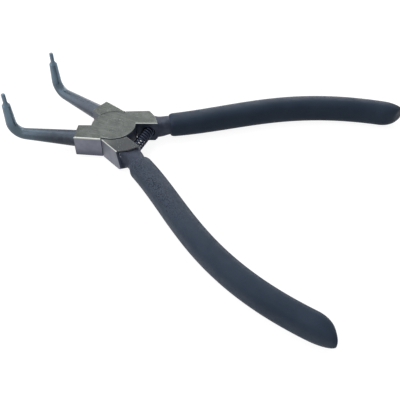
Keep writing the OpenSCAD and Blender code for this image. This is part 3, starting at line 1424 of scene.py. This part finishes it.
@dataclass
class ReturnSpring:
    """Compression spring between the blind holes of the two levers."""

    axis_x: float = Lever.seat_x
    axis_z: float = Lever.head_t / 2
    length: float = 20.6
    outer_r: float = 2.5
    wire_d: float = 0.8
    turns: int = 12
    turn_points: int = 28
    wire_sides: int = 14
    crease: float = 60
    finish: SpringSteel = field(default_factory=SpringSteel)

    def tree(self) -> bpy.types.NodeTree:
        """Geometry nodes that wind a wire round the line of the spring.

        Returns:
            The tree, with named inputs for its sizes and its finish.
        """
        tree = bpy.data.node_groups.new("wind_spring", "GeometryNodeTree")
        for name, kind in (
            ("Geometry", "Geometry"),
            ("Coil Radius", "Float"),
            ("Length", "Float"),
            ("Turns", "Float"),
            ("Wire Radius", "Float"),
            ("Points", "Int"),
            ("Wire Sides", "Int"),
            ("Centre", "Vector"),
            ("Finish", "Material"),
        ):
            tree.interface.new_socket(name, in_out="INPUT", socket_type=f"NodeSocket{kind}")
        tree.interface.new_socket("Geometry", in_out="OUTPUT", socket_type="NodeSocketGeometry")
        wiring = Wiring(tree)
        add, reckon = wiring.add, wiring.reckon
        given = add("NodeGroupInput", {}).outputs
        radius = given["Coil Radius"]
        line = add("GeometryNodeCurvePrimitiveLine", {}).outputs["Curve"]
        points = add("GeometryNodeResampleCurve", {"Curve": line, "Count": given["Points"]}).outputs["Curve"]
        share = add("GeometryNodeSplineParameter", {}).outputs["Factor"]
        angle = reckon("MULTIPLY", reckon("MULTIPLY", share, given["Turns"]), math.tau)
        coil = {
            "X": reckon("MULTIPLY", reckon("COSINE", angle), radius),
            "Y": reckon("MULTIPLY", reckon("SUBTRACT", share, 0.5), given["Length"]),
            "Z": reckon("MULTIPLY", reckon("SINE", angle), radius),
        }
        place = add("ShaderNodeCombineXYZ", coil).outputs["Vector"]
        moved = add("ShaderNodeVectorMath", {0: place, 1: given["Centre"]}, operation="ADD").outputs["Vector"]
        helix = add("GeometryNodeSetPosition", {"Geometry": points, "Position": moved}).outputs["Geometry"]
        outline = {"Resolution": given["Wire Sides"], "Radius": given["Wire Radius"]}
        profile = add("GeometryNodeCurvePrimitiveCircle", outline).outputs["Curve"]
        sweep = {"Curve": helix, "Profile Curve": profile, "Fill Caps": True}
        wire = add("GeometryNodeCurveToMesh", sweep).outputs["Mesh"]
        plain = add("GeometryNodeRealizeInstances", {"Geometry": wire}).outputs["Geometry"]
        dressed = add("GeometryNodeSetMaterial", {"Geometry": plain, "Material": given["Finish"]})
        add("NodeGroupOutput", {"Geometry": dressed.outputs["Geometry"]})
        return tree

    def build(self) -> Piece:
        """Whole spring.

        Returns:
            The finished piece.
        """
        made = link("return_spring_coil", bpy.data.meshes.new("return_spring_coil"))
        tree = self.tree()
        wind = made.modifiers.new("wind", "NODES")
        wind.node_group = tree
        values = {
            "Coil Radius": (self.outer_r - self.wire_d / 2) * MM,
            "Length": (self.length - self.wire_d) * MM,
            "Turns": float(self.turns),
            "Wire Radius": self.wire_d / 2 * MM,
            "Points": self.turns * self.turn_points,
            "Wire Sides": self.wire_sides,
            "Centre": (self.axis_x * MM, 0.0, self.axis_z * MM),
            "Finish": self.finish.material(),
        }
        for item in tree.interface.items_tree:
            if item.in_out == "INPUT" and item.name in values:
                wind[item.identifier] = values[item.name]
        made.data = applied(made)
        made.data.shade_smooth()
        made.data.set_sharp_from_angle(angle=math.radians(self.crease))
        Side.UPPER.body
        Side.LOWER.body
        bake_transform(made)
        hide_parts("return_spring")
        return made


@dataclass
class PivotRivet:
    """Flush rivet, whose solid from the frame is dressed as it is."""

    finish: GroundSteel = field(default_factory=GroundSteel)

    def build(self) -> Piece:
        """Rivet in its ground finish.

        Returns:
            The finished piece.
        """
        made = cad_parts["pivot_rivet"]
        made.data.materials.clear()
        made.data.materials.append(self.finish.material())
        return made


@dataclass(frozen=True)
class SoftBox:
    """One large soft lamp, with its place and size in metres."""

    name: str
    place: tuple[float, float, float]
    size: float
    watts: float

    def build(self, aim: Vector) -> None:
        """Puts the lamp in the scene.

        Args:
            aim: Point towards which it is turned.
        """
        lamp = bpy.data.lights.new(self.name, "AREA")
        lamp.shape = "DISK"
        lamp.size = self.size
        lamp.energy = self.watts
        made = bpy.data.objects.new(self.name, lamp)
        made.location = self.place
        made.rotation_euler = (aim - Vector(self.place)).to_track_quat("-Z", "Y").to_euler()
        bpy.context.scene.collection.objects.link(made)


@dataclass
class Studio:
    """Pale floor, soft light and the camera at the photograph's angle."""

    # Camera: angles in degrees, distance and target in millimetres, and focal length in pixels of the image
    azimuth: float = 22.597
    elevation: float = 44.948
    roll: float = 0.377
    distance: float = 226.254
    target: tuple[float, float, float] = (52.557, -23.976, 4.5)
    focal_px: float = 558.182
    image_px: float = 400
    sensor: float = 36
    clip_start: float = 5
    # Floor, with half its width in metres, and the light from the surround
    floor_half: float = 3.0
    floor_tone: float = 0.28
    floor_glow: float = 0.9
    ambient: float = 0.2
    lamps: tuple[SoftBox, ...] = (
        SoftBox("overhead", (-0.25, 0.2, 0.7), 0.6, 1.9),
        SoftBox("behind", (-0.1, 0.75, 0.24), 0.6, 2.6),
        SoftBox("beside", (-0.6, -0.5, 0.55), 1.4, 5.6),
    )

    def camera(self) -> None:
        """Camera that sees the pliers as the photograph does."""
        azimuth, elevation, roll = map(math.radians, (self.azimuth, self.elevation, self.roll))
        back = Vector(
            (
                math.sin(azimuth) * math.cos(elevation),
                -math.cos(azimuth) * math.cos(elevation),
                math.sin(elevation),
            )
        )
        right = UP.cross(back).normalized()
        up = back.cross(right)
        turned = right * math.cos(roll) + up * math.sin(roll)
        raised = up * math.cos(roll) - right * math.sin(roll)
        lens = bpy.data.cameras.new("camera")
        lens.sensor_width = self.sensor
        lens.lens = self.focal_px / self.image_px * self.sensor
        lens.clip_start = self.clip_start * MM
        made = bpy.data.objects.new("camera", lens)
        place = (Vector(self.target) + back * self.distance) * MM
        made.matrix_world = Matrix.Translation(place) @ Matrix((turned, raised, back)).transposed().to_4x4()
        bpy.context.scene.collection.objects.link(made)
        bpy.context.scene.camera = made

    def seen(self, wiring: Wiring) -> Socket:
        """Tells rays from the camera and in reflections from other light.

        Args:
            wiring: Tree to which the nodes are added.

        Returns:
            Value that is 1 for those rays, and 0 for the rest.
        """
        path = wiring.add("ShaderNodeLightPath", {}).outputs
        total = path["Is Camera Ray"]
        for name in ("Is Glossy Ray", "Is Transmission Ray"):
            total = wiring.reckon("MAXIMUM", total, path[name])
        return total

    def floor(self, height: float) -> None:
        """Pale floor that glows towards the camera and still keeps the shadow.

        Args:
            height: Height of the floor, in metres.
        """
        half = self.floor_half
        corners = [(-half, -half, height), (half, -half, height), (half, half, height), (-half, half, height)]
        mesh = bpy.data.meshes.new("floor")
        mesh.from_pydata(corners, [], [(0, 1, 2, 3)])
        made = link("floor", mesh)
        material = bpy.data.materials.new("pale_floor")
        material.use_nodes = True
        wiring = Wiring(material.node_tree)
        wiring.tree.nodes.clear()
        matt = wiring.add("ShaderNodeBsdfDiffuse", {"Color": (*[self.floor_tone] * 3, 1)})
        strength = wiring.reckon("MULTIPLY", self.seen(wiring), self.floor_glow)
        glow = wiring.add("ShaderNodeEmission", {"Strength": strength})
        added = wiring.add("ShaderNodeAddShader", {0: matt.outputs["BSDF"], 1: glow.outputs["Emission"]})
        wiring.add("ShaderNodeOutputMaterial", {"Surface": added.outputs["Shader"]})
        mesh.materials.append(material)

    def surround(self) -> None:
        """White surround for the camera and for reflections, and softer light from it for the rest."""
        world = bpy.data.worlds.new("surround")
        bpy.context.scene.world = world
        world.use_nodes = True
        wiring = Wiring(world.node_tree)
        level = wiring.add("ShaderNodeMapRange", {"Value": self.seen(wiring), "To Min": self.ambient})
        background = wiring.tree.nodes["Background"].inputs
        wiring.give(background["Color"], (1, 1, 1, 1))
        wiring.give(background["Strength"], level.outputs["Result"])

    def build(self, floor_height: float) -> None:
        """Whole studio.

        Args:
            floor_height: Height of the floor, in metres.
        """
        self.camera()
        self.floor(floor_height)
        self.surround()
        for lamp in self.lamps:
            lamp.build(Vector(self.target) * MM)
        bpy.context.scene.view_settings.view_transform = "Standard"


def main() -> None:
    """Builds the pliers piece by piece, then the studio."""
    logging.basicConfig(level=logging.INFO, format="%(name)s: %(message)s")
    handle = Handle()
    pieces = [Lever(side, handle) for side in Side] + [Grip(side, handle) for side in Side]
    pieces += [ReturnSpring(), PivotRivet()]
    for piece in pieces:
        made = piece.build()
        LOG.info("%s: %d faces", made.name, len(made.data.polygons))
    Studio().build(cad_box[0].z)


if __name__ == "__main__":
    main()
